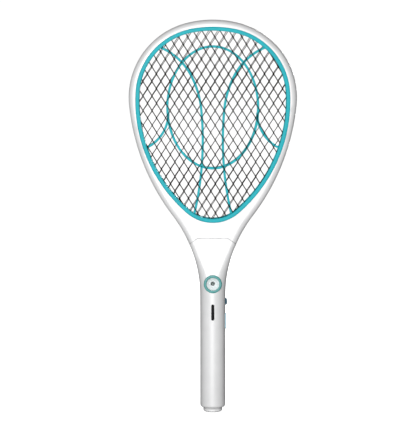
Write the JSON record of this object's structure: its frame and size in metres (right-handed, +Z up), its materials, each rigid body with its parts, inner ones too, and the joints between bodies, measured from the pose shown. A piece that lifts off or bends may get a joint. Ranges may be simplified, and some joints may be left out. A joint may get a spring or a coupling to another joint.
{
  "type": "electric fly swatter",
  "caption": "Racket-shaped electric fly swatter: oval head with three layers of wire mesh on ribbed spacer grids, round handle with lamp, slide switch, press bar and plug cover.",
  "frame": {"origin": "middle of the underside of the end cap, on the axis of the round handle", "axes": "+Z up the handle to the top of the head, -Y out of the front face with the lamp, +X towards the side with the slide switch and the press bar"},
  "size_m": [0.2034, 0.0308, 0.4791],
  "materials": {
    "body_white": "fine satin moulded ABS",
    "ring_teal": "moulded ABS, satin",
    "mesh_dark": "dark oxidised strands",
    "screw_steel": "zinc plated",
    "terminal_brass": "tinned brass",
    "lead_insulation": "pvc insulation",
    "bezel_teal": "satin",
    "lens_clear": "clear acrylic",
    "reflector_white": "glossy white cup",
    "led_epoxy": "clear epoxy",
    "window_smoked": "smoked",
    "board_green": "solder mask",
    "ferrite": "sintered ferrite",
    "copper_winding": "enamelled copper",
    "capacitor_film": "epoxy coated film",
    "component_black": "moulded epoxy",
    "resistor_tan": "lacquered ceramic",
    "switch_black": "moulded",
    "knob_dark_teal": "satin",
    "trigger_blue": "satin",
    "cell_sleeve": "shrink sleeve over a metal can",
    "nickel": "nickel strip",
    "carrier_plastic": "moulded",
    "blade_brass": "nickel plated brass"
  },
  "bodies": {
    "housing": {"head_frame_front": "body_white", "head_frame_rear": "body_white", "handle_shell_front": "body_white", "handle_shell_rear": "body_white", "clamp_ring_front": "ring_teal", "clamp_ring_rear": "ring_teal", "front_mesh": "mesh_dark", "centre_mesh": "mesh_dark", "rear_mesh": "mesh_dark", "spacer_grid_front": "ring_teal", "spacer_grid_rear": "ring_teal", "rim_screws": "screw_steel", "neck_screws": "screw_steel", "handle_screws": "screw_steel", "board_screws": "screw_steel", "mesh_terminals": "terminal_brass", "high_voltage_leads": "lead_insulation", "lamp_bezel": "bezel_teal", "lamp_lens": "lens_clear", "lamp_reflector": "reflector_white", "lamp_led": "led_epoxy", "indicator_window": "window_smoked", "indicator_leds": "led_epoxy", "circuit_board": "board_green", "transformer_core": "ferrite", "transformer_winding": "copper_winding", "high_voltage_capacitor": "capacitor_film", "charging_capacitor": "capacitor_film", "rectifier_diodes": "component_black", "discharge_resistors": "resistor_tan", "switching_transistor": "component_black", "slide_switch_body": "switch_black", "tact_switch_body": "switch_black", "rechargeable_cell": "cell_sleeve", "cell_tabs": "nickel", "cell_leads": "lead_insulation", "charging_leads": "lead_insulation", "plug_carrier": "carrier_plastic", "plug_blades": "blade_brass"},
    "slide_knob": {"switch_knob": "knob_dark_teal", "slide_switch_lever": "switch_black"},
    "press_bar": {"trigger_button": "trigger_blue", "tact_switch_plunger": "switch_black"},
    "end_cap": {"plug_cover": "body_white"}
  },
  "joints": [
    {"name": "switch_slide", "type": "slide", "parent": "housing", "child": "slide_knob", "axis": [0, 0, 1], "range_m": [-0.002, 0.002]},
    {"name": "press_bar_press", "type": "slide", "parent": "housing", "child": "press_bar", "axis": [-1, 0, 0], "range_m": [0, 0.0008], "stiffness_N_per_m": 1500, "springref_m": -0.0002},
    {"name": "end_cap_pull", "type": "slide", "parent": "housing", "child": "end_cap", "axis": [0, 0, -1], "range_m": [0, 0.024]}
  ]
}
